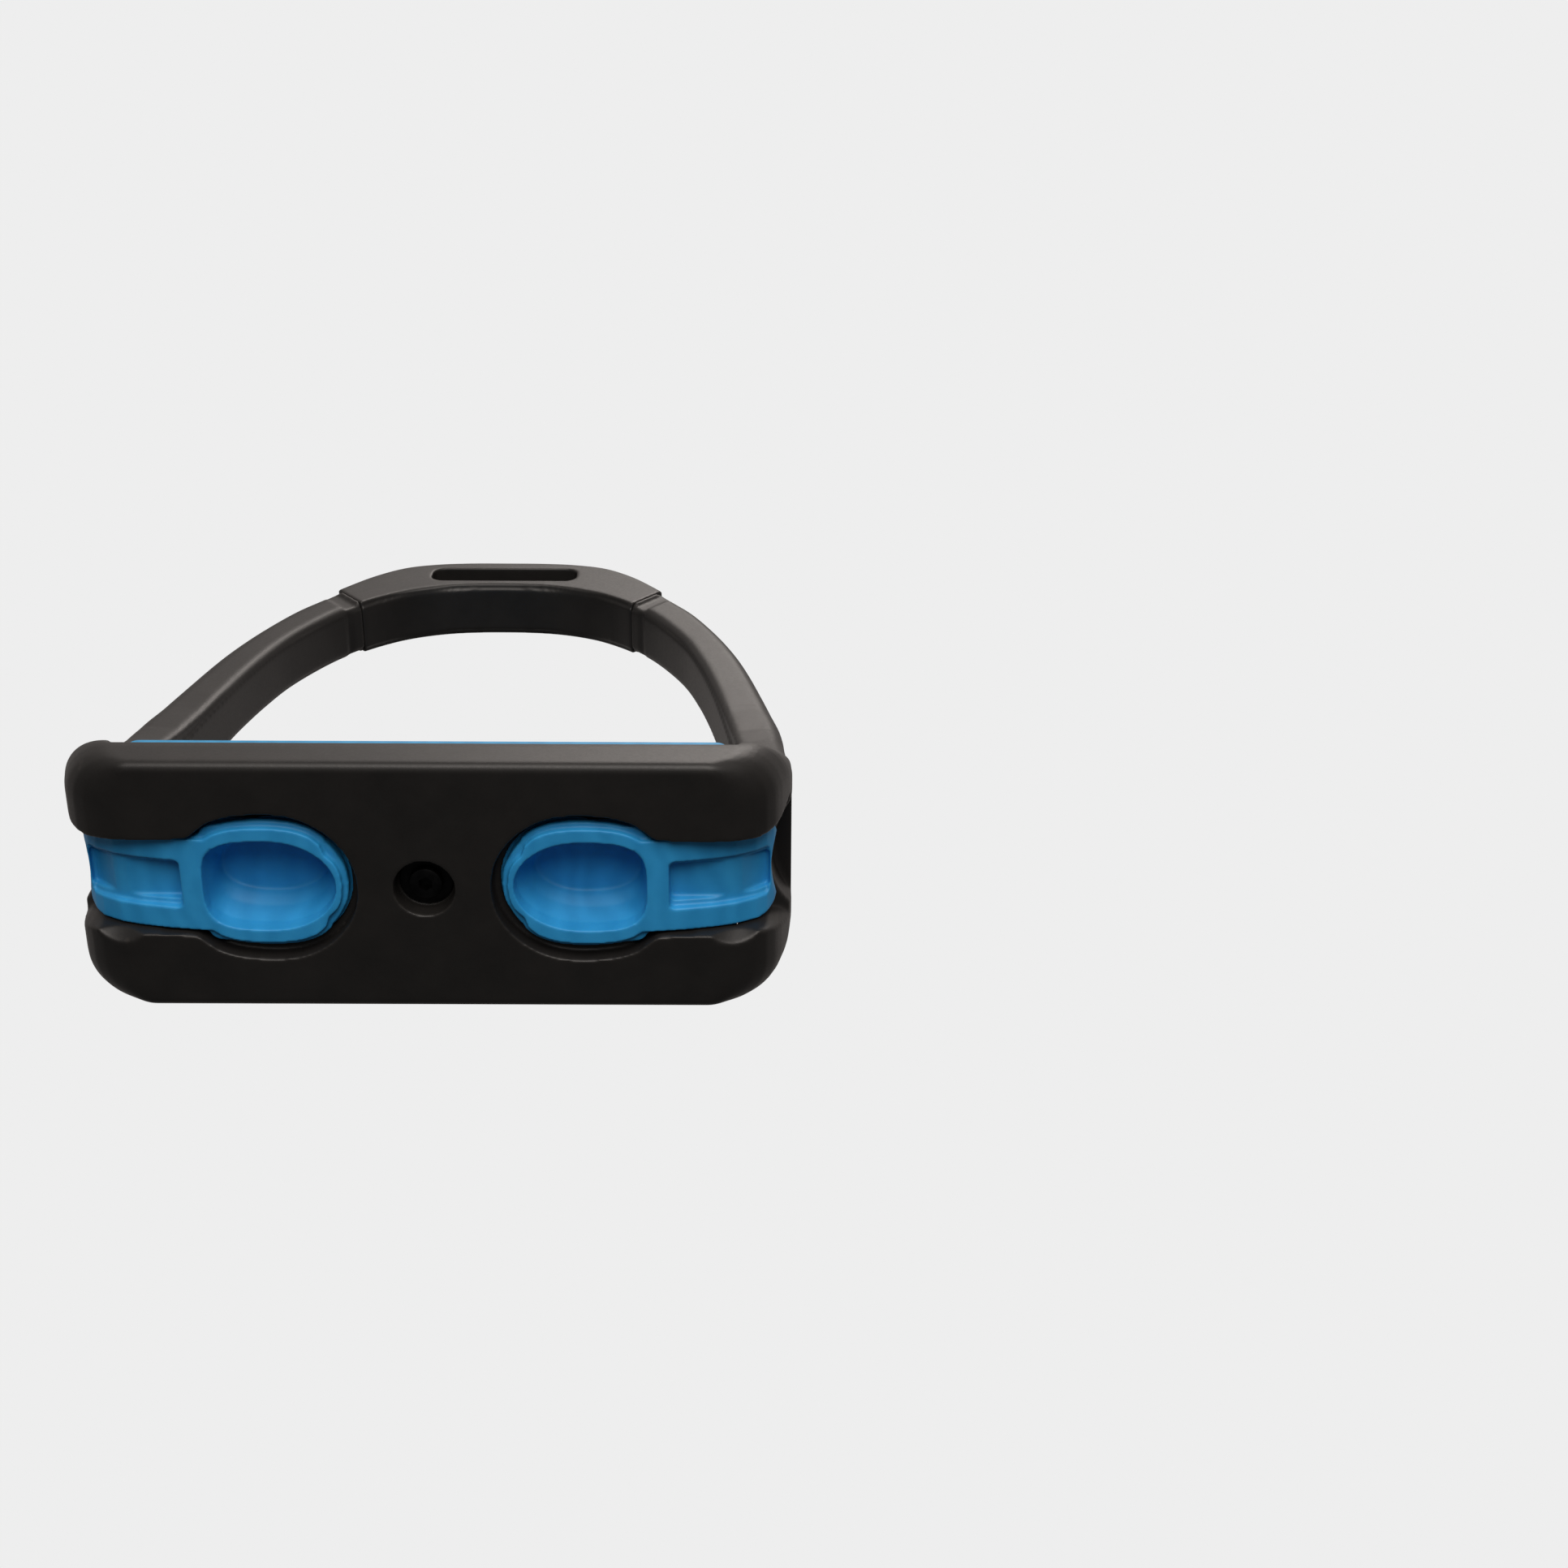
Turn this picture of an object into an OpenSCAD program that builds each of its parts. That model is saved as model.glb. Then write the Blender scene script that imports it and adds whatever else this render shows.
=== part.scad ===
/* [Footbed] */
// overall length of the footbed, arm outside to arm outside
bed_len = 142; // [120:1:160]
// depth of the footbed, front to back
bed_depth = 53.4; // [44:0.2:64]
// height of the black rim above the underside
rim_h = 10; // [8:0.2:12]
// thickness of the footbed floor
floor_t = 5; // [4.5:0.5:6]
// thickness of the rim wall around the tread
rim_t = 2.2; // [1.8:0.1:3]
// clear tread length between the arms
tread_gap = 120.4; // [100:0.4:130]

/* [Arch] */
// overall height to the top of the eye
total_h = 160; // [140:1:170]
// thickness of the arms, front to back
arm_depth = 13.4; // [12:0.2:18]
// width of the rebate along the inner edges of the arms
arm_edge = 1.8; // [1:0.2:3]
// depth of the rebate along the inner edges of the arms
arm_step = 0.6; // [0.3:0.1:1.4]

/* [Eye] */
// thickness of the eye piece, front to back
eye_depth = 14; // [12:0.5:20]
// length of the leather slot
slot_len = 36; // [28:1:40]
// height of the leather slot
slot_h = 8; // [6:0.5:10]
// thickness of the bar above the slot
bar_t = 4.6; // [4:0.2:7]
// radius of the hidden joint dowels
dowel_r = 2; // [1.5:0.1:2.5]
// length of the hidden joint dowels
dowel_len = 15; // [10:1:18]

/* [Cushions] */
// distance from the centre to each cushion cup centre
cup_x = 28; // [26:0.5:30]
// outside radius of the cushion cup above the floor
cup_r = 13; // [12:0.5:13]
// depth of the step around the cushion lip
lip_step = 1.2; // [0.6:0.1:1.6]
// height of the underside of the tread plate
plate_z = 12.8; // [12.6:0.1:16]
// half width of the cushion tab
tab_hw = 9.9; // [9:0.1:10]
// half width of the channel the tab lies in
way_hw = 10.2; // [10.2:0.1:10.6]

/* [Tread] */
// thickness of the tread plate
plate_t = 2.3; // [2:0.1:4]
// thickness of the tread pad
pad_t = 2.9; // [2:0.1:5]
// height of the grip studs
stud_h = 0.8; // [0.4:0.1:1.5]

/* [Centre post] */
// radius of the tool recess under the footbed
recess_r = 5.85; // [5:0.05:7]
// radius of the post shank
post_r = 3; // [2.5:0.1:3.5]
// radius of the rocker head across the top of the post
head_r = 2.2; // [1.9:0.1:2.3]
// length of the rocker head, front to back
head_len = 9; // [7:0.5:10]
// radial running clearance of post and rocker head
run_gap = 0.05; // [0.02:0.01:0.1]

/* [Hidden] */
$fn = 64;
hl = bed_len / 2;
hd = bed_depth / 2;
gap_hl = tread_gap / 2;
k_z = total_h / 160;
boss_top = 7.6;
boss_r = 9;
recess_h = 4.4;
bush_r = 4.4;
shank_top = 9.4;
neck_r = 1.3;
head_z = 12.2;
socket_z = 10.9;
washer_t = 0.7;
screw_r = 1.6;
screw_head_h = 1.6;
seat_z = 0.8;
lip_top = 3.6;
flange_t = 2;
cup_end = 43;
pad_wall = 2;
pad_hl = gap_hl - 0.7;
pad_hd = hd - rim_t - 0.6;
skirt_z = 8.4;
plate_top = plate_z + plate_t;
pad_top = plate_top + pad_t;
slot_top = total_h - bar_t;
slot_mid = slot_top - slot_h / 2;

// half outline of the front view, from under the footbed up to the crown
outer_pts = [[56.3, 0], [58, 0.1], [60, 0.4], [62, 1], [64, 1.8], [66, 3.1], [67.6, 4.8], [68.7, 6.8],
             [69.5, 9.8], [70.4, 13.6], [71, 18.6], [70.8, 28], [69.9, 43], [69.1, 58], [67.2, 69], [64.9, 80], [62.4, 91], [59.1, 102.8],
             [54.6, 115], [48.8, 127.4], [43.6, 135.4], [38.9, 142.4], [32.6, 150.4],
             [25.4, 156.4], [17.4, 159], [9, 159.9], [0, 160]];
inner_pts = [[60.2, 0], [60.2, 21], [59.7, 35], [58.5, 50], [56.8, 62], [54.6, 75],
             [52, 87.6], [49.2, 98.6], [45.4, 110.4], [40, 121.2], [33.2, 130.8], [25, 138],
             [14, 142.8], [6.5, 144], [0, 144.2]];
// half depth of the arms against height
side_pts = [[26.7, 0], [26.7, 9], [26.2, 11.5], [24.6, 14.6], [22, 18.4], [18.8, 23.4], [15.2, 30],
            [11.8, 38.5], [9.4, 47.5], [7.9, 57], [7, 69], [6.7, 85], [6.7, 175]];

// half outline of the cushion lip from its nose out to the tab, with a step on each flank
nose_pts = [[14.8, 0], [15.2, 3.2], [16.3, 5.6], [18, 7.4]];
flank_pts = [[18.9, 9.8], [21, 11.6], [24.6, 13], [29, 13.5], [34, 13.4], [38, 12.8], [41, 11.7],
             [43.2, 10.4], [45.4, 9.9], [52, 9.9]];
// half outline of the opening around the lip
way_pts = [[12.8, 0], [13.6, 4.8], [16, 9.2], [19.8, 12.8], [24.4, 15], [29, 15.7], [34, 15.5],
           [38, 14.8], [41, 13.5], [43.4, 11.6], [45.6, 10.5], [52, 10.4]];
// half outlines of the hollow at the lip, half way up and at its roof
hollow_pts = [[17.3, 0], [18.4, 4], [21.6, 7.1], [26, 9], [31, 9.5], [36.6, 8.9], [40.6, 7.3],
              [42.3, 5.2], [42.5, 0]];
mid_pts = [[18.8, 0], [19.9, 3.4], [22.8, 6], [26.8, 7.6], [31, 8], [36, 7.4], [39.6, 5.8],
           [41.4, 3.4], [41.8, 0]];
roof_pts = [[20.4, 0], [21.6, 2.9], [24.6, 4.9], [30.8, 5.9], [37, 4.9], [40, 2.9], [41.2, 0]];
// side view of the tab: its underside, its top, and the floors of its window and of the window ledge
tab_low = [[40, 0.8], [44, 1.1], [50, 1.9], [55.7, 3.1], [60, 4.4], [64, 6.6], [66, 8.3], [67.4, 10.4]];
tab_high = [[67.9, 12.4], [66.8, 13], [64.6, 11.9], [62.6, 10], [61, 7.6], [59.8, 6.2], [40, 6.2]];
window_z = [[46, 5.1], [59.2, 5.2], [61, 6.3], [62.8, 8.2], [64.8, 10], [66.6, 11.2]];
ledge_z = [[46, 3], [50, 3.5], [55.7, 4.4], [60, 5.8], [64, 7.8], [66.6, 9.9]];
// side view of the roof of the channel
roof_z = [[40, 7.6], [59.4, 7.6], [60.6, 8.4], [62.2, 10.7], [64.2, 12.6], [66.6, 13.7], [68, 14.6],
          [71, 16.4], [80, 17]];

function cr(a, b, c, d, t) = 0.5 * (2 * b + (c - a) * t + (2 * a - 5 * b + 4 * c - d) * t * t
    + (3 * b - a - 3 * c + d) * t * t * t);
function smooth(p, n) = [for (i = [0 : len(p) - 2]) for (j = [0 : n - 1])
    cr(p[max(i - 1, 0)], p[i], p[i + 1], p[min(i + 2, len(p) - 1)], j / n)];
function paired(p) = concat(p, [for (i = [len(p) - 1 : -1 : 0]) [p[i][0], -p[i][1]]]);
function shrunk(p, d) = [for (q = p) q - d * (q - [cup_x, 0]) / norm(q - [cup_x, 0])];
function ended(p, n) = concat(smooth(p, n), [p[len(p) - 1]]);
function under(p) = concat(p, [[p[len(p) - 1][0], -2], [p[0][0], -2]]);
function both(p) = concat(p, [for (i = [len(p) - 2 : -1 : 0]) [-p[i][0], p[i][1]]]);
function scaled(p) = [for (q = p) [q[0] * bed_len / 142, q[1] * k_z]];
function closed(p) = concat(scaled(smooth(p, 6)), [[0, p[len(p) - 1][1] * k_z]]);

outer_half = closed(outer_pts);
inner_half = closed(inner_pts);

// points on the seam between arm and eye piece, inner end and outer end
seam_in = [30.2, 129] * k_z;
seam_out = [42.6, 144.4] * k_z;
seam_dir = (seam_out - seam_in) / norm(seam_out - seam_in);
seam_mid = (seam_in + seam_out) / 2;
seam_ang = atan2(seam_dir[1], seam_dir[0]);

module outer_shape() {
    polygon(both(outer_half));
}

module inner_shape(grow) {
    m = 1 + grow / 56;
    polygon([for (p = both(inner_half))
        [p[0] * m, p[1] + grow * max(0, (p[1] - 60) / 82)]]);
}

// flat arch outline with the crown thickness taken down by grow
module arch_shape(grow = 0) {
    difference() {
        outer_shape();
        translate([0, -0.01])
            inner_shape(grow);
        translate([-gap_hl - grow, -30])
            square([2 * gap_hl + 2 * grow, 30 + rim_h]);
    }
}

// upright slab of a flat shape in the X-Z plane, centred on Y
module slab(t) {
    translate([0, t / 2, 0])
        rotate([90, 0, 0])
            linear_extrude(t)
                children();
}

// region above both seams
module crown_zone() {
    low = seam_in - 9 * seam_dir;
    high = seam_out + 14 * seam_dir;
    polygon([low, high, [high[0], 200], [-high[0], 200], [-high[0], high[1]], [-low[0], low[1]]]);
}

// rounded plan outline of the footbed
module bed_plan(r = 9) {
    a = hl - r;
    b = hd - r;
    union() {
        square([2 * a + 2 * r, 2 * b], center = true);
        square([2 * a, 2 * b + 2 * r], center = true);
        for (x = [-a, a])
            for (y = [-b, b])
                translate([x, y])
                    circle(r);
    }
}

// rectangle with rounded corners
module rounded(lx, ly, r) {
    union() {
        square([lx, ly - 2 * r], center = true);
        square([lx - 2 * r, ly], center = true);
        for (x = [-1, 1])
            for (y = [-1, 1])
                translate([x * (lx / 2 - r), y * (ly / 2 - r)])
                    circle(r);
    }
}

// D outline: round towards the centre, squared off outboard
module d_shape(cx, r, x1, hy, rc) {
    union() {
        translate([cx, 0])
            circle(r);
        translate([cx, -hy])
            square([x1 - cx - rc, 2 * hy]);
        translate([cx, -hy + rc])
            square([x1 - cx, 2 * hy - 2 * rc]);
        for (y = [-hy + rc, hy - rc])
            translate([x1 - rc, y])
                circle(rc);
    }
}

// side view outline that gives the arms their flared roots
module side_shape() {
    h = [for (q = smooth(side_pts, 4)) [q[0] + (arm_depth - 13.4) / 2, q[1] * k_z]];
    polygon(both(concat(h, [[arm_depth / 2, 175], [0, 175]])));
}

module side_bar() {
    translate([-100, 0, 0])
        rotate([90, 0, 90])
            linear_extrude(200)
                side_shape();
}

// both arms and the crown before the eye piece is split off
module arch_body() {
    intersection() {
        union() {
            slab(arm_depth - 2 * arm_edge)
                arch_shape(0);
            slab(bed_depth)
                arch_shape(arm_step);
        }
        side_bar();
        linear_extrude(200)
            bed_plan();
    }
}

// prism of an X-Z side view, t wide and centred on Y
module side_slab(t, pts) {
    slab(t)
        polygon(pts);
}

// prism of a half outline seen from above
module plan_slab(z0, z1, half) {
    translate([0, 0, z0])
        linear_extrude(z1 - z0)
            polygon(paired(half));
}

// opening and channel for one cushion, on the +X side
module cushion_way() {
    plan_slab(-1, 4, ended(way_pts, 4));
    translate([0, 0, -1])
        linear_extrude(floor_t + 2)
            d_shape(cup_x, cup_r + 0.6, cup_end + 0.6, cup_r + 0.2, 3.4);
    intersection() {
        side_slab(40, under(roof_z));
        linear_extrude(60, center = true)
            polygon(paired([[42, way_hw], [64, way_hw], [66.6, 10.8], [68.6, 11.8], [70.4, 13.6], [72, 16]]));
    }
    // flare beside the tab, on the back edge
    translate([61, 3.4, -1])
        cylinder(h = 5.4, r1 = 9.7, r2 = 6.4, $fn = 96);
    // hollow down the end wall
    translate([85.1, 0, -1])
        cylinder(h = 23, r = 18.4, $fn = 96);
}

module bed_shell() {
    difference() {
        intersection() {
            linear_extrude(rim_h + 2.4)
                bed_plan();
            slab(bed_depth + 2)
                outer_shape();
        }
        translate([-gap_hl, -hd - 1, rim_h])
            cube([tread_gap, bed_depth + 2, 30]);
        translate([-gap_hl, -hd + rim_t, floor_t])
            cube([tread_gap, bed_depth - 2 * rim_t, 30]);
    }
}

module neck_cut() {
    for (s = [0, 1])
        mirror([s, 0, 0])
            translate([seam_in[0], 0, seam_in[1]])
                rotate([0, -seam_ang, 0])
                    translate([0, 0, -2.9])
                        difference() {
                            cube([60, 40, 4.2], center = true);
                            translate([9.9, 0, 0])
                                cube([13.4, 11.6, 6], center = true);
                        }
}

module arms() {
    difference() {
        arch_body();
        slab(80)
            crown_zone();
        neck_cut();
        dowel_pair();
    }
}

module dowel_pair() {
    for (s = [0, 1])
        mirror([s, 0, 0])
            translate([seam_mid[0], 0, seam_mid[1]])
                rotate([0, -seam_ang, 0])
                    cylinder(h = dowel_len, r = dowel_r, center = true, $fn = 32);
}

module frame_moulding() {
    color([0.06, 0.06, 0.065])
        difference() {
            union() {
                bed_shell();
                arms();
                cylinder(h = boss_top, r = boss_r);
            }
            for (s = [0, 1])
                mirror([s, 0, 0])
                    cushion_way();
            translate([0, 0, -1])
                cylinder(h = recess_h + 1, r = recess_r);
            translate([0, 0, -1])
                cylinder(h = boss_top + 2, r = bush_r);
        }
}

module eye_piece() {
    color([0.06, 0.06, 0.065])
        difference() {
            intersection() {
                union() {
                    slab(eye_depth - 2 * arm_edge)
                        arch_shape(0);
                    slab(eye_depth)
                        arch_shape(arm_step);
                }
                slab(80)
                    crown_zone();
            }
            translate([0, 0, slot_mid])
                rotate([90, 0, 0])
                    linear_extrude(60, center = true)
                        rounded(slot_len, slot_h, 3);
            dowel_pair();
        }
}

module eye_dowels() {
    color([0.7, 0.7, 0.72])
        dowel_pair();
}

// cushion on the +X side: stepped lip, cup, seating flange and outboard tab
module cushion() {
    lip = concat(smooth(nose_pts, 3), [nose_pts[3]], smooth(flank_pts, 3), [[52, tab_hw]]);
    difference() {
        union() {
            plan_slab(seat_z, seat_z + lip_step, shrunk(lip, 1.1));
            plan_slab(seat_z + lip_step, lip_top, lip);
            translate([0, 0, seat_z + lip_step])
                linear_extrude(plate_z - seat_z - lip_step)
                    d_shape(cup_x, cup_r, cup_end, cup_r - 0.4, 3);
            translate([0, 0, floor_t])
                linear_extrude(flange_t)
                    d_shape(cup_x, cup_r + 2.4, cup_end, cup_r + 1.6, 3.6);
            intersection() {
                side_slab(2 * tab_hw, concat(tab_low, tab_high));
                tab_plan();
            }
        }
        // everything under the curled underside of the tab
        side_slab(60, concat(tab_low, [[80, 10.4], [80, -2], [40, -2]]));
        plan_slab(-1, 4, ended(hollow_pts, 4));
        plan_slab(-1, 7.8, ended(mid_pts, 4));
        plan_slab(-1, plate_z - 1.9, ended(roof_pts, 4));
        window_cut(5.1, ledge_z);
        window_cut(4, window_z);
    }
}

// plan of the tab, with a slightly hollow end
module tab_plan() {
    linear_extrude(40)
        difference() {
            union() {
                translate([40, -tab_hw])
                    square([24, 2 * tab_hw]);
                translate([40, 4 - tab_hw])
                    square([28, 2 * tab_hw - 8]);
                for (y = [4 - tab_hw, tab_hw - 4])
                    translate([64, y])
                        circle(4);
            }
            translate([89.4, 0])
                circle(22.6, $fn = 96);
        }
}

module window_cut(hw, floor_line) {
    intersection() {
        side_slab(2 * hw, under(floor_line));
        translate([0, 0, -5])
            linear_extrude(40)
                translate([56.8, 0])
                    rounded(19.4, 2 * hw, 1);
    }
}

module cushion_right() {
    color([0.1, 0.45, 0.75])
        cushion();
}

module cushion_left() {
    color([0.1, 0.45, 0.75])
        mirror([1, 0, 0])
            cushion();
}

module guide_bush() {
    color([0.75, 0.6, 0.3])
        difference() {
            translate([0, 0, recess_h])
                cylinder(h = boss_top - recess_h, r = bush_r);
            cylinder(h = 20, r = post_r + run_gap);
        }
}

// rocker head of the post, or the socket for it when grown
module rocker_head(grow = 0) {
    translate([0, 0, head_z])
        rotate([90, 0, 0])
            cylinder(h = head_len + 2 * grow, r = head_r + grow, center = true);
}

module rocker_post() {
    color([0.7, 0.7, 0.72])
        difference() {
            union() {
                translate([0, 0, recess_h])
                    cylinder(h = shank_top - recess_h, r = post_r);
                translate([0, 0, shank_top - 0.2])
                    cylinder(h = head_z - shank_top, r = neck_r);
                rocker_head();
            }
            translate([0, 0, recess_h - 1])
                cylinder(h = 4.3, r = screw_r, $fn = 48);
        }
}

module post_washer() {
    color([0.7, 0.7, 0.72])
        translate([0, 0, recess_h - washer_t])
            difference() {
                cylinder(h = washer_t, r = 5.2);
                translate([0, 0, -1])
                    cylinder(h = 3, r = 1.75, $fn = 48);
            }
}

module post_screw() {
    color([0.25, 0.25, 0.26])
        difference() {
            union() {
                translate([0, 0, recess_h - washer_t])
                    cylinder(h = 4, r = screw_r, $fn = 48);
                translate([0, 0, recess_h - washer_t - screw_head_h])
                    cylinder(h = screw_head_h, r = 3.3);
            }
            translate([0, 0, recess_h - washer_t - screw_head_h - 0.1])
                linear_extrude(1.2)
                    circle(1.45, $fn = 6);
        }
}

module tread_plate() {
    color([0.09, 0.09, 0.1])
        difference() {
            union() {
                translate([0, 0, plate_z])
                    linear_extrude(plate_t)
                        rounded(2 * pad_hl - 2 * pad_wall, 2 * pad_hd - 2 * pad_wall, 3);
                translate([0, 0, socket_z])
                    cylinder(h = plate_z - socket_z, r = 6.5);
                for (y = [-20.4, 19])
                    translate([-54, y, plate_z - 1.6])
                        cube([108, 1.4, 1.8]);
            }
            rocker_head(run_gap);
        }
}

module tread_pad() {
    color([0.12, 0.5, 0.8])
        union() {
            difference() {
                translate([0, 0, skirt_z])
                    linear_extrude(pad_top - skirt_z)
                        rounded(2 * pad_hl, 2 * pad_hd, 5);
                translate([0, 0, skirt_z - 1])
                    linear_extrude(plate_top - skirt_z + 1)
                        rounded(2 * pad_hl - 2 * pad_wall, 2 * pad_hd - 2 * pad_wall, 3);
            }
            translate([0, 0, pad_top])
                grip_studs();
        }
}

module grip_studs() {
    for (i = [-12 : 12])
        for (j = [-4 : 4])
            translate([i * 4.5, j * 5, 0])
                rotate(45)
                    translate([-1.25, -1.25, -0.2])
                        cube([2.5, 2.5, stud_h + 0.2]);
}

frame_moulding();
eye_piece();
eye_dowels();
cushion_left();
cushion_right();
guide_bush();
rocker_post();
post_washer();
post_screw();
tread_plate();
tread_pad();
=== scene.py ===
import math

import bmesh
import bpy
from mathutils import Matrix, Vector


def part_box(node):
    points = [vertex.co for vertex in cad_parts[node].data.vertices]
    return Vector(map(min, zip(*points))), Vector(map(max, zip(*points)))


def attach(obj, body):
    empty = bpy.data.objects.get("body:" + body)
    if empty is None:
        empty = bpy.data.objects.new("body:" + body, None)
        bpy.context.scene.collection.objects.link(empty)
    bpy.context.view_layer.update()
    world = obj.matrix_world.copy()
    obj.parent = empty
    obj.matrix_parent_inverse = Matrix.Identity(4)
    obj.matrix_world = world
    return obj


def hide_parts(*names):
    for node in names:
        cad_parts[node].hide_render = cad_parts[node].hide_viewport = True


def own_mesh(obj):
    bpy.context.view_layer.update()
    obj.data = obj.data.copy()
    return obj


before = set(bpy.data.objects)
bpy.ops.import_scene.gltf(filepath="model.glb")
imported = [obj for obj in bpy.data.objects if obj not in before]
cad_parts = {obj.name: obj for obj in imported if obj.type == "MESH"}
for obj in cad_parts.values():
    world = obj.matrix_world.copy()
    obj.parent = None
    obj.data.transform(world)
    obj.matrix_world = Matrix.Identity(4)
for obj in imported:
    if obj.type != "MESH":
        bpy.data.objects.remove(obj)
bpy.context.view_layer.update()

MM = 0.001
pad_low, pad_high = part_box("tread_pad")
plate_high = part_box("tread_plate")[1]
cup_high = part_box("cushion_right")[1]
screw_low, screw_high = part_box("post_screw")
washer_low, washer_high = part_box("post_washer")

# front view of the arch in millimetres: pairs of points across the arm, outside and inside,
# from the footbed up to the crown on the +X side
ARM_STATIONS = [
    ((69.1, 8), (60.2, 8)), ((70.5, 14), (60.2, 14)), ((71, 20), (60.2, 20)),
    ((70.8, 28), (60.0, 27.6)), ((69.9, 43), (59.2, 41.6)), ((69.1, 58), (57.6, 56)),
    ((67.2, 69), (56.1, 66)), ((64.9, 80), (54.3, 76.4)), ((62.4, 91), (52.2, 86.8)),
    ((59.1, 102.8), (49.6, 97.4)), ((54.6, 115), (46.0, 108.9)), ((48.8, 127.4), (40.6, 120.2)),
    ((43.6, 135.4), (35.4, 128.3)), ((38.9, 142.4), (30.0, 133.9)), ((32.6, 150.4), (24.6, 138.3)),
    ((25.4, 156.4), (19.6, 141)), ((17.4, 159), (13.8, 142.9)), ((9, 159.9), (6.9, 143.95)),
]
CROWN = ((0, 160), (0, 144.2))
# half depth of arms and footbed against height, in millimetres
HALF_DEPTHS = [
    (0, 26.7), (9, 26.7), (11.5, 26.2), (14.6, 24.6), (18.4, 22), (23.4, 18.8), (30, 15.2),
    (38.5, 11.8), (47.5, 9.4), (57, 7.9), (69, 7), (85, 6.7), (160, 6.7),
]
# half length of the footbed's end against height, in millimetres
HALF_LENGTHS = [
    (0, 56.3), (0.1, 58), (0.4, 60), (1, 62), (1.8, 64), (3.1, 66), (4.8, 67.6), (6.8, 68.7),
    (9.8, 69.5), (13.6, 70.4), (18.6, 71), (30, 70.8),
]


def at_height(table, z):
    """Value read from a height table, with straight runs between its rows."""
    for (z0, v0), (z1, v1) in zip(table, table[1:]):
        if z <= z1:
            return v0 + (v1 - v0) * max(0.0, (z - z0) / (z1 - z0))
    return table[-1][1]


# ---------------------------------------------------------------- mesh helpers

def piece_from(name, bm):
    """A new object at the origin from a bmesh."""
    mesh = bpy.data.meshes.new(name)
    bm.to_mesh(mesh)
    bm.free()
    made = bpy.data.objects.new(name, mesh)
    bpy.context.scene.collection.objects.link(made)
    return made


def copy_of(node, name):
    """A merged copy of a CAD node's mesh."""
    bm = bmesh.new()
    bm.from_mesh(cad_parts[node].data)
    bmesh.ops.remove_doubles(bm, verts=bm.verts, dist=2e-6)
    return piece_from(name, bm)


def bake_modifiers(obj):
    """Replaces the object's mesh with the mesh its modifiers give."""
    depsgraph = bpy.context.evaluated_depsgraph_get()
    depsgraph.update()
    mesh = bpy.data.meshes.new_from_object(obj.evaluated_get(depsgraph))
    obj.modifiers.clear()
    obj.data = mesh
    return obj


def combine(obj, tool, operation):
    """Boolean of obj with tool, which is used up."""
    cut = obj.modifiers.new("cut", "BOOLEAN")
    cut.operation = operation
    cut.object = tool
    cut.solver = "EXACT"
    bake_modifiers(obj)
    bpy.data.objects.remove(tool)
    return obj


def mould(obj, voxel, rounds, keep=1.0):
    """Fine skin with softly rounded edges, as a moulded piece has."""
    skin = obj.modifiers.new("skin", "REMESH")
    skin.mode = "VOXEL"
    skin.voxel_size = voxel
    skin.use_smooth_shade = True
    soft = obj.modifiers.new("soft", "SMOOTH")
    soft.factor = 0.5
    soft.iterations = rounds
    if keep < 1.0:
        thin = obj.modifiers.new("thin", "DECIMATE")
        thin.ratio = keep
    bake_modifiers(obj)
    for polygon in obj.data.polygons:
        polygon.use_smooth = True
    return obj


def rounded_ring(half_u, half_v, radii, steps=6):
    """Closed ring of (u, v) with the two radii of each corner: ++, -+, --, +-."""
    points = []
    corners = [(1, 1, 0), (-1, 1, 90), (-1, -1, 180), (1, -1, 270)]
    for (su, sv, start), (ru, rv) in zip(corners, radii):
        for i in range(steps + 1):
            a = math.radians(start + 90 * i / steps)
            points.append((su * (half_u - ru) + ru * math.cos(a), sv * (half_v - rv) + rv * math.sin(a)))
    return points


def hollow_ring(nose, middle, back, half, bulge, steps=48):
    """Ring of a cup hollow: round towards the centre, flatter towards the end of the footbed."""
    points = []
    for i in range(steps):
        a = 2 * math.pi * i / steps
        c, s = math.cos(a), math.sin(a)
        if c < 0:
            points.append((middle + (middle - nose) * c, half * s))
        else:
            grow = (abs(c) ** bulge + abs(s) ** bulge) ** (-1 / bulge)
            points.append((middle + (back - middle) * c * grow, half * s * grow))
    return points


def loft(name, rings):
    """Skin over closed rings of points, with both ends capped."""
    bm = bmesh.new()
    loops = []
    for ring in rings:
        verts = [bm.verts.new(p) for p in ring]
        loops.append([bm.edges.new((a, b)) for a, b in zip(verts, verts[1:] + verts[:1])])
    for low, high in zip(loops, loops[1:]):
        bmesh.ops.bridge_loops(bm, edges=low + high)
    bmesh.ops.contextual_create(bm, geom=loops[0])
    bmesh.ops.contextual_create(bm, geom=loops[-1])
    bmesh.ops.recalc_face_normals(bm, faces=bm.faces)
    return piece_from(name, bm)


def level_ring(points, z):
    """Flat outline in millimetres set level at height z, in metres."""
    return [Vector((u * MM, v * MM, z * MM)) for u, v in points]


# ---------------------------------------------------------------- envelopes of the black mouldings

SKIN_GAP = 0.1      # the rounded skins lie this far inside the plain solids, in millimetres
BED_FILLET = 1.7    # rounding along the long lower edges
BED_FLAT = 54.5     # half length of the footbed's straight long edges
LOW_CORNER = 9      # plan corners of the footbed, up to RISE_START
HIGH_CORNER = 3.2   # plan corners where the arms begin, at BED_TOP; also the arms' outer fillet
RISE_START = 10
BLOCK_TOP = 12      # up to here the arch is left plain and only the footbed's skin shapes it
BED_TOP = 28


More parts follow.
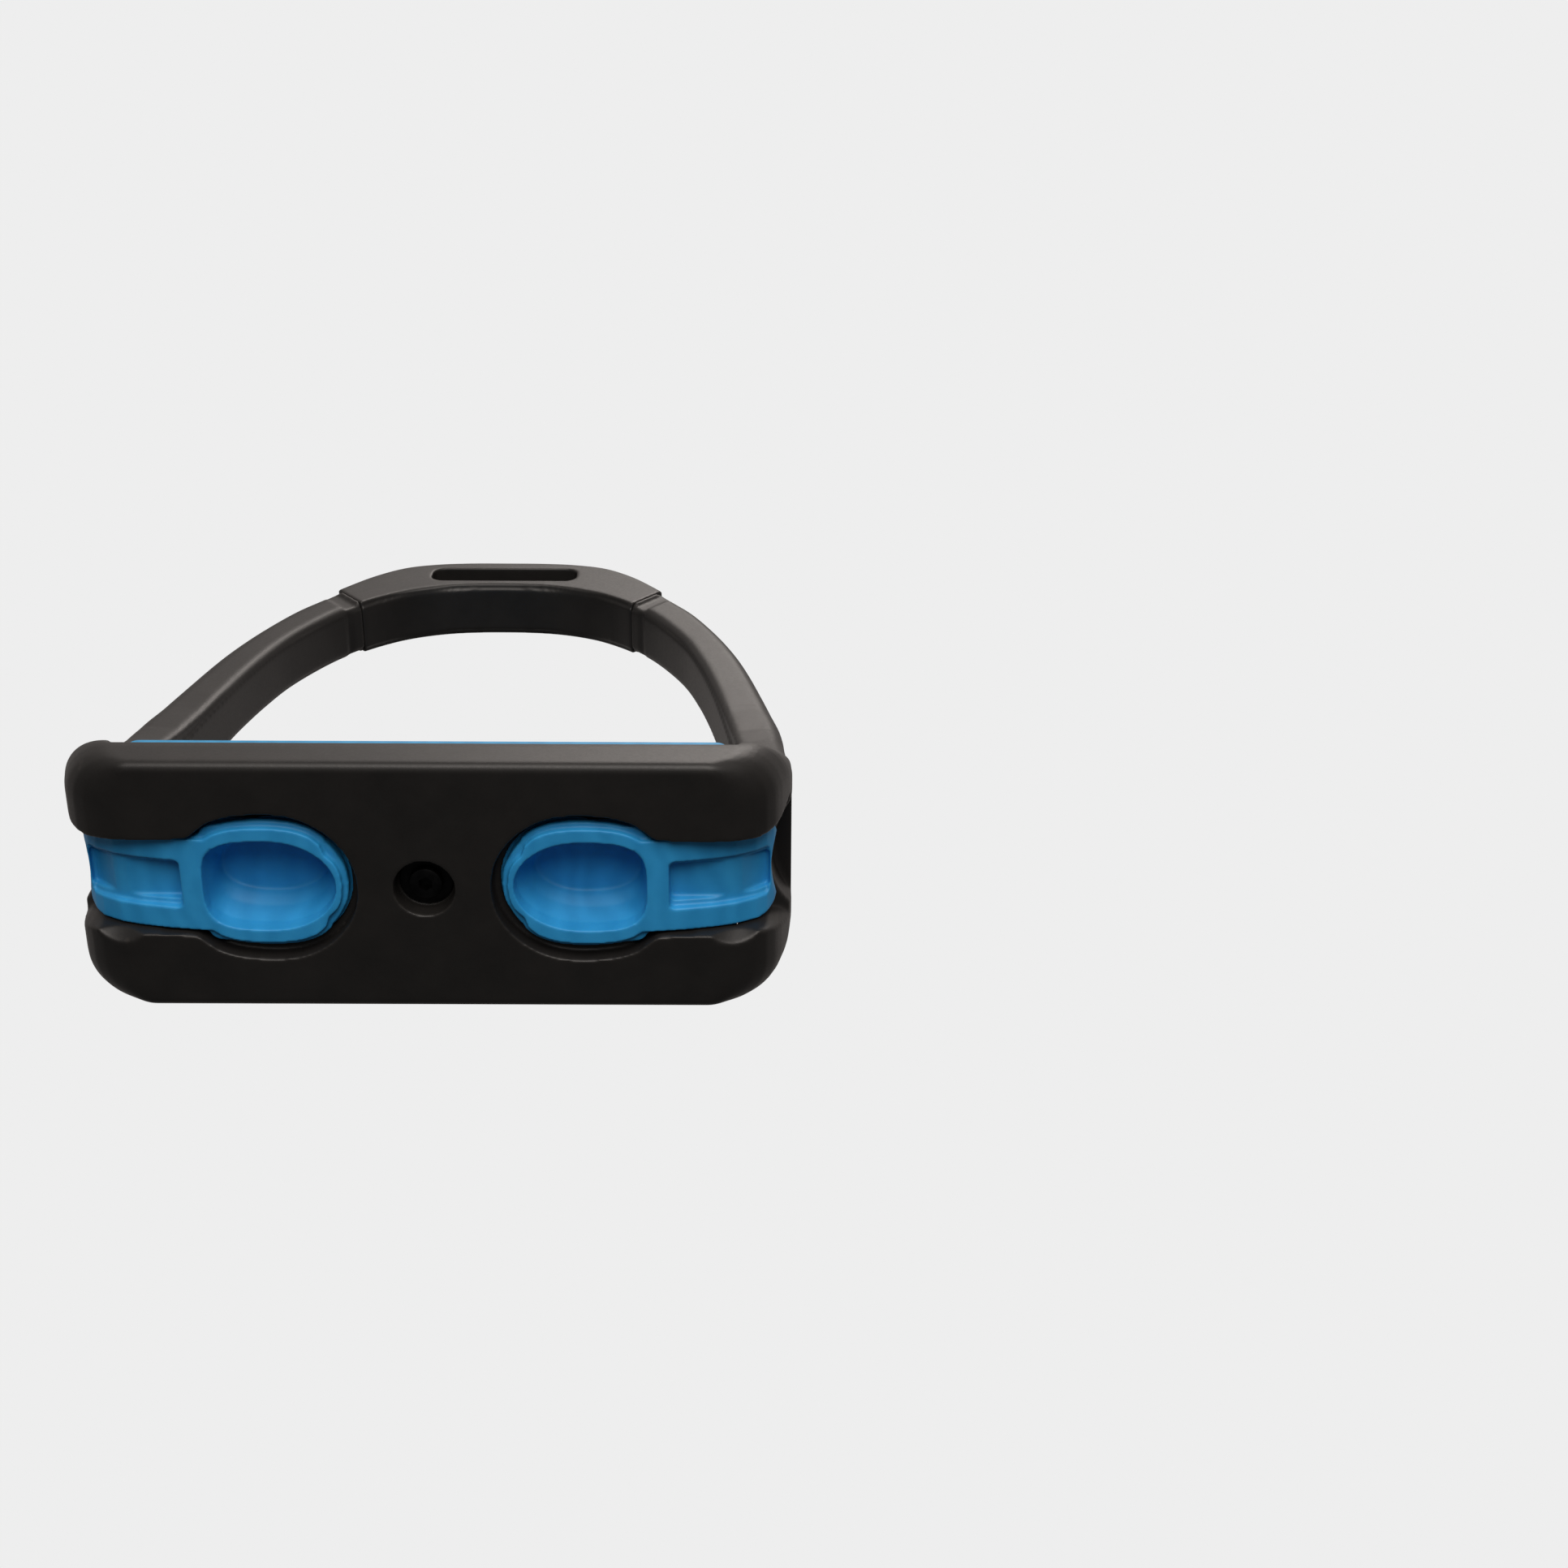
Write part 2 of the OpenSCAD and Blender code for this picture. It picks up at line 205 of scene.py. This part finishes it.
def footbed_skin():
    """Everything inside the rounded footbed, with free room above the arm roots."""
    rings = []
    turns = [math.radians(a) for a in range(0, 91, 15)]
    heights = [-0.6] + [BED_FILLET * (1 - math.cos(a)) for a in turns]
    heights += [2.3, 3.1, 4, 5, 6, 8, 10, 12, 14, 16.5, 19, 22, 25, BED_TOP]
    for z in heights:
        low = max(z, 0)
        edge = 0
        if low < BED_FILLET:
            edge = BED_FILLET * (1 - math.sqrt(1 - (1 - low / BED_FILLET) ** 2))
        half_x = at_height(HALF_LENGTHS, low) - SKIN_GAP
        half_y = at_height(HALF_DEPTHS, low) - SKIN_GAP - edge
        rise = min(1.0, max(0.0, (low - RISE_START) / (BED_TOP - RISE_START)))
        along = min(half_x - BED_FLAT, LOW_CORNER) - 0.5 * edge
        corner = (along * (1 - rise) + HIGH_CORNER * rise, LOW_CORNER * (1 - rise) + HIGH_CORNER * rise)
        rings.append(level_ring(rounded_ring(half_x, half_y, [corner] * 4, steps=10), z))
    for z in (BED_TOP + 3, 175):
        rings.append(level_ring(rounded_ring(78, 34, [(12, 12)] * 4, steps=10), z))
    return loft("footbed_skin", rings)


def low_block():
    """Plain block around the footbed, below the rounded arms."""
    rings = [level_ring(rounded_ring(74, 29, [(1, 1)] * 4), z) for z in (-2, BLOCK_TOP)]
    return loft("low_block", rings)


def spline(points, t):
    """Smooth curve through points, at t counted in points."""
    i = min(int(t), len(points) - 2)
    f = t - i
    p0, p1 = points[max(i - 1, 0)], points[i]
    p2, p3 = points[i + 1], points[min(i + 2, len(points) - 1)]
    return 0.5 * (2 * p1 + (p2 - p0) * f + (2 * p0 - 5 * p1 + 4 * p2 - p3) * f * f
                  + (3 * p1 - p0 - 3 * p2 + p3) * f * f * f)


def arch_skin(outer_fillet=HIGH_CORNER, inner_fillet=2.4, steps=5):
    """The whole arch from root to root as one smooth bar with filleted edges."""
    right = [(Vector(o), Vector(i)) for o, i in ARM_STATIONS]
    left = [(Vector((-o.x, o.y)), Vector((-i.x, i.y))) for o, i in reversed(right)]
    pairs = right + [tuple(Vector(p) for p in CROWN)] + left
    outer = [p[0] for p in pairs]
    inner = [p[1] for p in pairs]
    rings = []
    for n in range((len(pairs) - 1) * steps + 1):
        o, i = spline(outer, n / steps), spline(inner, n / steps)
        across = (o - i).normalized()
        middle, half_u = (o + i) / 2, (o - i).length / 2 - SKIN_GAP
        height = middle.y
        half_v = at_height(HALF_DEPTHS, height) - SKIN_GAP
        # nearly sharp where the arms leave the footbed, full fillets higher up
        inner_r = 0.5 + (inner_fillet - 0.5) * min(1.0, max(0.0, (height - BLOCK_TOP) / 24))
        outer_r = 0.6 + (outer_fillet - 0.6) * min(1.0, max(0.0, (height - BLOCK_TOP) / 16))
        inside, outside = (inner_r, inner_r), (outer_r, outer_r)
        ring = []
        for u, v in rounded_ring(half_u, half_v, [outside, inside, inside, outside]):
            spot = middle + across * u
            ring.append(Vector((spot.x * MM, v * MM, spot.y * MM)))
        rings.append(ring)
    return loft("arch_skin", rings)


def frame_moulding():
    shape = copy_of("frame_moulding", "frame_moulding_skin")
    combine(shape, combine(low_block(), arch_skin(), "UNION"), "INTERSECT")
    combine(shape, footbed_skin(), "INTERSECT")
    return mould(shape, 0.4 * MM, 6, keep=0.6)


def eye_piece():
    shape = copy_of("eye_piece", "eye_piece_skin")
    combine(shape, arch_skin(1.0, 1.2), "INTERSECT")
    return mould(shape, 0.36 * MM, 5)


# ---------------------------------------------------------------- blue elastomer pieces

CUP_ROOF = 1.9      # thickness of the roof of the cups


def cushion(node):
    """The plain cushion with a drawn, tapering hollow and softly moulded edges."""
    shape = copy_of(node, node + "_skin")
    roof = cup_high.z / MM - CUP_ROOF
    side = 1 if node == "cushion_right" else -1
    rings = []
    for z, nose, back, half, bulge in ((-2, 17.1, 42.8, 9.6, 3.4), (1.5, 17.1, 42.8, 9.6, 3.4),
                                       (4.1, 17.2, 42.7, 9.55, 3.4), (5.4, 17.7, 42.5, 9.1, 3.2),
                                       (6.7, 18.2, 42.2, 8.6, 3.1), (7.9, 18.7, 41.9, 8.1, 3),
                                       (9, 19.3, 41.7, 7.3, 2.7), (10, 19.8, 41.5, 6.6, 2.5),
                                       (roof + 0.05, 20.3, 41.3, 6.05, 2.4)):
        outline = hollow_ring(nose, 30, back, half, bulge)
        rings.append(level_ring([(side * u, v) for u, v in outline], z))
    combine(shape, loft("hollow", rings), "DIFFERENCE")
    return mould(shape, 0.28 * MM, 5)


def bevelled_box(bm, size, centre, radius, segments):
    """A box with all its edges rounded, added to bm."""
    made = bmesh.ops.create_cube(bm, size=1.0)["verts"]
    bmesh.ops.scale(bm, vec=size, verts=made)
    bmesh.ops.translate(bm, vec=centre, verts=made)
    edges = list({e for v in made for e in v.link_edges})
    bmesh.ops.bevel(bm, geom=edges, offset=radius, offset_type="OFFSET", segments=segments,
                    profile=0.5, affect="EDGES", material=-1)


STUD_HEIGHT = 0.8
STUD_SIZE = Vector((2.5, 2.5, 1.6))
STUD_PITCH = Vector((4.5, 5))
CROWN_DROP = 0.8    # how much lower the ends of the tread lie than its middle


def tread_pad():
    """Grip pad: crowned slab with a skirt round the plate, a sealing lip, and rows of raised studs."""
    low, high = pad_low / MM, pad_high / MM
    top = high.z - STUD_HEIGHT
    corner, fillet = 3.5, 1.5
    wall, lip = 1.9, 0.55
    levels = [(wall, plate_high.z / MM + 0.02), (wall, low.z), (0, low.z), (0, low.z + 0.8),
              (-lip, low.z + 1.2), (-lip, low.z + 1.6), (0, low.z + 2.2)]
    for a in range(0, 91, 15):
        turn = math.radians(a)
        levels.append((fillet * (1 - math.cos(turn)), top - fillet + fillet * math.sin(turn)))
    rings = []
    for edge, z in levels:
        corners = [(corner - edge, corner - edge)] * 4
        rings.append(level_ring(rounded_ring(high.x - edge, high.y - edge, corners, steps=10), z))
    pad = loft("tread_pad_skin", rings)
    # the skirt is relieved over the two cushion tabs
    for side in (-1, 1):
        bm = bmesh.new()
        bevelled_box(bm, Vector((8, 21.6, 3.6)) * MM, Vector((58.5 * side, 0, low.z)) * MM, 0.4 * MM, 2)
        combine(pad, piece_from("relief", bm), "DIFFERENCE")
    bm = bmesh.new()
    bm.from_mesh(pad.data)
    for column in range(-12, 13):
        for row in range(-4, 5):
            before = set(bm.verts)
            bevelled_box(bm, STUD_SIZE * MM, Vector((0, 0, 0)), 0.35 * MM, 2)
            verts = [v for v in bm.verts if v not in before]
            bmesh.ops.rotate(bm, verts=verts, cent=(0, 0, 0), matrix=Matrix.Rotation(math.pi / 4, 3, "Z"))
            place = Vector((column * STUD_PITCH.x, row * STUD_PITCH.y, top + STUD_HEIGHT - 0.82)) * MM
            bmesh.ops.translate(bm, verts=verts, vec=place)
    for vert in bm.verts:
        if vert.co.z > (top - 3) * MM:
            vert.co.z -= CROWN_DROP * MM * (vert.co.x / pad_high.x) ** 2
    bm.to_mesh(pad.data)
    bm.free()
    shade_by_angle(pad)
    return pad


def shade_by_angle(obj, limit=35):
    for polygon in obj.data.polygons:
        polygon.use_smooth = True
    obj.data.set_sharp_from_angle(angle=math.radians(limit))


# ---------------------------------------------------------------- hidden and metal pieces

def tread_plate():
    shape = copy_of("tread_plate", "tread_plate_skin")
    edge = shape.modifiers.new("edge", "BEVEL")
    edge.width = 0.3 * MM
    edge.segments = 2
    edge.limit_method = "ANGLE"
    edge.angle_limit = math.radians(40)
    bake_modifiers(shape)
    shade_by_angle(shape)
    return shape


def turned(name, profile, steps=72):
    """A turned piece: the profile of (radius, height) in millimetres spun round the post's axis."""
    bm = bmesh.new()
    verts = [bm.verts.new((r * MM, 0, z * MM)) for r, z in profile]
    edges = [bm.edges.new(pair) for pair in zip(verts, verts[1:])]
    bmesh.ops.spin(bm, geom=verts + edges, cent=(0, 0, 0), axis=(0, 0, 1), dvec=(0, 0, 0),
                   angle=2 * math.pi, steps=steps, use_merge=True, use_duplicate=False)
    bmesh.ops.remove_doubles(bm, verts=bm.verts, dist=1e-7)
    bmesh.ops.recalc_face_normals(bm, faces=bm.faces)
    made = piece_from(name, bm)
    shade_by_angle(made, 30)
    return made


def post_screw():
    low, high = screw_low.z / MM, screw_high.z / MM
    head = screw_high.x / MM
    seat, shank = low + 1.6, 1.6
    screw = turned("post_screw_skin", [
        (0, low), (head - 0.5, low), (head - 0.15, low + 0.12), (head, low + 0.45), (head, seat - 0.1),
        (head - 0.1, seat), (shank, seat), (shank, high - 0.3), (shank - 0.3, high), (0, high),
    ])
    bm = bmesh.new()
    bmesh.ops.create_cone(bm, cap_ends=True, segments=6, radius1=1.5 * MM, radius2=1.45 * MM, depth=2.4 * MM)
    bmesh.ops.translate(bm, verts=bm.verts, vec=(0, 0, low * MM))
    key = piece_from("key", bm)
    combine(screw, key, "DIFFERENCE")
    shade_by_angle(screw, 30)
    return screw


def post_washer():
    low, high = washer_low.z / MM, washer_high.z / MM
    outside, bore, edge = washer_high.x / MM, 1.75, 0.15
    return turned("post_washer_skin", [
        (bore, low), (outside - edge, low), (outside, low + edge), (outside, high - edge),
        (outside - edge, high), (bore, high), (bore, low),
    ])


# ---------------------------------------------------------------- materials

def surface(name):
    made = bpy.data.materials.new(name)
    made.use_nodes = True
    nodes = made.node_tree.nodes
    return made, nodes, made.node_tree.links, nodes["Principled BSDF"]


def speckle(nodes, links, scale, detail=4.0, roughness=0.6):
    """Noise on the piece's own coordinates."""
    place = nodes.new("ShaderNodeTexCoord")
    noise = nodes.new("ShaderNodeTexNoise")
    noise.inputs["Scale"].default_value = scale
    noise.inputs["Detail"].default_value = detail
    noise.inputs["Roughness"].default_value = roughness
    links.new(place.outputs["Object"], noise.inputs["Vector"])
    return noise


def ramp(nodes, links, source, stops):
    made = nodes.new("ShaderNodeValToRGB")
    links.new(source, made.inputs["Fac"])
    bar = made.color_ramp
    while len(bar.elements) < len(stops):
        bar.elements.new(0.5)
    for element, (place, colour) in zip(bar.elements, stops):
        element.position = place
        element.color = (*colour, 1)
    return made


def bump(nodes, links, source, strength, distance, under=None):
    made = nodes.new("ShaderNodeBump")
    made.inputs["Strength"].default_value = strength
    made.inputs["Distance"].default_value = distance
    links.new(source, made.inputs["Height"])
    if under is not None:
        links.new(under.outputs["Normal"], made.inputs["Normal"])
    return made


def moulded_plastic(name, dark, light, rough_low, rough_high):
    """Fibre-filled plastic: fine spark-eroded grain and slight cloudiness, with a painted highlight that
    colours sharp convex edges paler.
    """
    made, nodes, links, shader = surface(name)
    cloud = speckle(nodes, links, 90, 3)
    fleck = speckle(nodes, links, 1900, 2)
    grain = speckle(nodes, links, 5200, 2, 0.5)
    tone = ramp(nodes, links, cloud.outputs["Fac"], [(0.3, dark), (0.72, light)])
    # painted highlight: sharp convex edges, found by pointiness, are coloured paler and patchy with the
    # cloud noise, standing in for the light that edge fillets catch
    edge_geometry = nodes.new("ShaderNodeNewGeometry")
    painted_edge_highlight = ramp(nodes, links, edge_geometry.outputs["Pointiness"], [(0.515, (0, 0, 0)), (0.6, (1, 1, 1))])
    patchy_edge_highlight = nodes.new("ShaderNodeMath")
    patchy_edge_highlight.operation = "MULTIPLY"
    links.new(painted_edge_highlight.outputs["Color"], patchy_edge_highlight.inputs[0])
    links.new(cloud.outputs["Fac"], patchy_edge_highlight.inputs[1])
    blend = nodes.new("ShaderNodeMix")
    blend.data_type = "RGBA"
    blend.inputs["B"].default_value = (light[0] * 1.9, light[1] * 1.85, light[2] * 1.8, 1)
    links.new(patchy_edge_highlight.outputs["Value"], blend.inputs["Factor"])
    links.new(tone.outputs["Color"], blend.inputs["A"])
    links.new(blend.outputs["Result"], shader.inputs["Base Color"])
    rough = nodes.new("ShaderNodeMapRange")
    rough.inputs["To Min"].default_value = rough_low
    rough.inputs["To Max"].default_value = rough_high
    links.new(fleck.outputs["Fac"], rough.inputs["Value"])
    links.new(rough.outputs["Result"], shader.inputs["Roughness"])
    coarse = bump(nodes, links, cloud.outputs["Fac"], 0.05, 0.0004)
    fine = bump(nodes, links, grain.outputs["Fac"], 0.22, 0.00006, coarse)
    links.new(fine.outputs["Normal"], shader.inputs["Normal"])
    shader.inputs["Specular IOR Level"].default_value = 0.42
    return made


def elastomer(name, deep, bright, rough_low, rough_high):
    """Satin rubbery polymer with a milky body, faint flow marks and a very fine grain."""
    made, nodes, links, shader = surface(name)
    cloud = speckle(nodes, links, 140, 3)
    flow = nodes.new("ShaderNodeTexWave")
    flow.inputs["Scale"].default_value = 55
    flow.inputs["Distortion"].default_value = 9
    flow.inputs["Detail"].default_value = 2
    place = nodes.new("ShaderNodeTexCoord")
    links.new(place.outputs["Object"], flow.inputs["Vector"])
    mix = nodes.new("ShaderNodeMix")
    mix.data_type = "FLOAT"
    mix.inputs["Factor"].default_value = 0.25
    links.new(cloud.outputs["Fac"], mix.inputs["A"])
    links.new(flow.outputs["Fac"], mix.inputs["B"])
    tone = ramp(nodes, links, mix.outputs["Result"], [(0.3, deep), (0.75, bright)])
    links.new(tone.outputs["Color"], shader.inputs["Base Color"])
    grain = speckle(nodes, links, 3600, 3)
    rough = nodes.new("ShaderNodeMapRange")
    rough.inputs["To Min"].default_value = rough_low
    rough.inputs["To Max"].default_value = rough_high
    links.new(grain.outputs["Fac"], rough.inputs["Value"])
    links.new(rough.outputs["Result"], shader.inputs["Roughness"])
    waves = bump(nodes, links, cloud.outputs["Fac"], 0.08, 0.0004)
    fine = bump(nodes, links, grain.outputs["Fac"], 0.12, 0.00008, waves)
    links.new(fine.outputs["Normal"], shader.inputs["Normal"])
    shader.inputs["Specular IOR Level"].default_value = 0.4
    shader.inputs["Subsurface Weight"].default_value = 0.12
    shader.inputs["Subsurface Radius"].default_value = (0.2, 0.6, 1.0)
    shader.inputs["Subsurface Scale"].default_value = 0.0012
    return made


def machined_steel(name, dark, light, rough_low, rough_high):
    """Turned or plated steel with circular tool marks round the post's axis."""
    made, nodes, links, shader = surface(name)
    shader.inputs["Metallic"].default_value = 1.0
    stain = speckle(nodes, links, 420, 4)
    tone = ramp(nodes, links, stain.outputs["Fac"], [(0.3, dark), (0.7, light)])
    links.new(tone.outputs["Color"], shader.inputs["Base Color"])
    rough = nodes.new("ShaderNodeMapRange")
    rough.inputs["To Min"].default_value = rough_low
    rough.inputs["To Max"].default_value = rough_high
    links.new(stain.outputs["Fac"], rough.inputs["Value"])
    links.new(rough.outputs["Result"], shader.inputs["Roughness"])
    place = nodes.new("ShaderNodeTexCoord")
    rings = nodes.new("ShaderNodeTexWave")
    rings.wave_type = "RINGS"
    rings.rings_direction = "Z"
    rings.inputs["Scale"].default_value = 900
    rings.inputs["Distortion"].default_value = 0.6
    links.new(place.outputs["Object"], rings.inputs["Vector"])
    marks = bump(nodes, links, rings.outputs["Fac"], 0.12, 0.00003)
    links.new(marks.outputs["Normal"], shader.inputs["Normal"])
    return made


BLACK = moulded_plastic("black_composite", (0.0085, 0.0078, 0.0074), (0.0135, 0.0122, 0.0114), 0.40, 0.54)
EYE_BLACK = moulded_plastic("eye_composite", (0.0088, 0.0081, 0.0077), (0.0142, 0.0128, 0.012), 0.38, 0.52)
PLATE_BLACK = moulded_plastic("plate_composite", (0.012, 0.012, 0.0125), (0.02, 0.02, 0.021), 0.45, 0.6)
CUSHION_BLUE = elastomer("cushion_elastomer", (0.020, 0.275, 0.60), (0.030, 0.335, 0.70), 0.46, 0.6)
PAD_BLUE = elastomer("pad_elastomer", (0.024, 0.24, 0.47), (0.038, 0.30, 0.56), 0.48, 0.62)
BUSH = moulded_plastic("bush_polymer", (0.42, 0.36, 0.26), (0.55, 0.48, 0.36), 0.35, 0.5)
POST_STEEL = machined_steel("post_steel", (0.45, 0.45, 0.46), (0.6, 0.6, 0.61), 0.22, 0.38)
# painted shade: the washer and the screw get a near-black steel colour so that they stay as dark as the
# shade inside the post's hole
WASHER_SHADE_DARK = machined_steel("washer_steel", (0.012, 0.012, 0.013), (0.024, 0.024, 0.025), 0.4, 0.55)
SCREW_SHADE_DARK = machined_steel("screw_steel", (0.012, 0.012, 0.013), (0.026, 0.026, 0.027), 0.38, 0.52)
DOWEL_STEEL = machined_steel("dowel_steel", (0.45, 0.45, 0.46), (0.62, 0.62, 0.62), 0.2, 0.34)


def dress(obj, material):
    obj.data.materials.clear()
    obj.data.materials.append(material)


def finish_piece(obj, material, slot, body, *nodes):
    dress(obj, material)
    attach(obj, body)
    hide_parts(*nodes)
    return obj


# ---------------------------------------------------------------- the pieces on their bodies

finish_piece(frame_moulding(), BLACK, "black_composite", "frame", "frame_moulding")
finish_piece(eye_piece(), EYE_BLACK, "eye_composite", "frame", "eye_piece")
for node in ("cushion_right", "cushion_left"):
    blue = cushion(node)
    finish_piece(blue, CUSHION_BLUE, "cushion_elastomer", "frame", node)
    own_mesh(blue)
finish_piece(tread_pad(), PAD_BLUE, "pad_elastomer", "tread", "tread_pad")
finish_piece(tread_plate(), PLATE_BLACK, "plate_composite", "tread", "tread_plate")
finish_piece(post_screw(), SCREW_SHADE_DARK, "screw_steel", "post", "post_screw")
finish_piece(post_washer(), WASHER_SHADE_DARK, "washer_steel", "post", "post_washer")

for node, material in (("rocker_post", POST_STEEL), ("guide_bush", BUSH), ("eye_dowels", DOWEL_STEEL)):
    dress(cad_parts[node], material)


# ---------------------------------------------------------------- studio

def pale_floor():
    """Floor under the stirrup that shows only from above."""
    bm = bmesh.new()
    bmesh.ops.create_grid(bm, x_segments=1, y_segments=1, size=1.6)
    bmesh.ops.translate(bm, verts=bm.verts, vec=(0, 0, -0.4 * MM))
    floor = piece_from("studio_floor", bm)
    floor.visible_diffuse = False
    floor.visible_glossy = False
    floor.visible_transmission = False
    floor.visible_shadow = False
    made, nodes, links, shader = surface("studio_floor")
    shader.inputs["Base Color"].default_value = (0.82, 0.82, 0.81, 1)
    shader.inputs["Roughness"].default_value = 0.85
    clear = nodes.new("ShaderNodeBsdfTransparent")
    facing = nodes.new("ShaderNodeNewGeometry")
    mix = nodes.new("ShaderNodeMixShader")
    links.new(facing.outputs["Backfacing"], mix.inputs["Fac"])
    links.new(shader.outputs["BSDF"], mix.inputs[1])
    links.new(clear.outputs["BSDF"], mix.inputs[2])
    links.new(mix.outputs["Shader"], nodes["Material Output"].inputs["Surface"])
    dress(floor, made)


def sky_world():
    """Pale backdrop: bright above and behind the arch, dim below the footbed."""
    world = bpy.data.worlds.new("studio")
    bpy.context.scene.world = world
    world.use_nodes = True
    nodes, links = world.node_tree.nodes, world.node_tree.links
    place = nodes.new("ShaderNodeTexCoord")
    split = nodes.new("ShaderNodeSeparateXYZ")
    links.new(place.outputs["Generated"], split.inputs["Vector"])
    shade = ramp(nodes, links, split.outputs["Z"], [(0.0, (0.07, 0.07, 0.07)), (1.0, (0.40, 0.368, 0.35))])
    height = nodes.new("ShaderNodeMapRange")
    height.inputs["From Min"].default_value = -0.3
    height.inputs["From Max"].default_value = 0.45
    links.new(split.outputs["Z"], height.inputs["Value"])
    links.new(height.outputs["Result"], shade.inputs["Fac"])
    seen = nodes.new("ShaderNodeLightPath")
    pick = nodes.new("ShaderNodeMix")
    pick.data_type = "RGBA"
    pick.inputs["B"].default_value = (0.855, 0.855, 0.855, 1)
    links.new(seen.outputs["Is Camera Ray"], pick.inputs["Factor"])
    links.new(shade.outputs["Color"], pick.inputs["A"])
    links.new(pick.outputs["Result"], nodes["Background"].inputs["Color"])


def soft_light(name, place, aim, size, power, colour):
    """Round area lamp turned towards the point it lights."""
    lamp = bpy.data.lights.new(name, "AREA")
    lamp.shape = "DISK"
    lamp.size = size
    lamp.energy = power
    lamp.color = colour
    made = bpy.data.objects.new(name, lamp)
    bpy.context.scene.collection.objects.link(made)
    made.location = place
    made.rotation_mode = "QUATERNION"
    made.rotation_quaternion = (Vector(aim) - Vector(place)).to_track_quat("-Z", "Y")


def camera():
    """Camera at the viewing angle: low in front, looking up at the underside."""
    azimuth, elevation, roll = math.radians(-0.75), math.radians(-63.87), math.radians(-0.44)
    focal, width = 2861.0, 1932.0
    data = bpy.data.cameras.new("camera")
    data.sensor_width = 36.0
    data.lens = focal / width * data.sensor_width
    made = bpy.data.objects.new("camera", data)
    bpy.context.scene.collection.objects.link(made)
    made.location = Vector((66.6, -215.3, -392.3)) * MM
    back = Vector((math.sin(azimuth) * math.cos(elevation), -math.cos(azimuth) * math.cos(elevation),
                   math.sin(elevation)))
    right = Vector((math.cos(azimuth), math.sin(azimuth), 0))
    up = back.cross(right)
    turned_right = right * math.cos(roll) + up * math.sin(roll)
    turned_up = -right * math.sin(roll) + up * math.cos(roll)
    made.rotation_mode = "QUATERNION"
    made.rotation_quaternion = Matrix((turned_right, turned_up, back)).transposed().to_quaternion()
    data.clip_start = 0.01
    data.clip_end = 10
    bpy.context.scene.camera = made


pale_floor()
sky_world()
soft_light("key", (0.1, -1.1, -0.62), (0, 0, 0.02), 1.1, 17, (1, 0.94, 0.89))
soft_light("top", (0.2, -0.75, 1.15), (0, 0, 0.06), 0.7, 7, (1, 0.93, 0.88))
camera()
bpy.context.scene.view_settings.view_transform = "Standard"
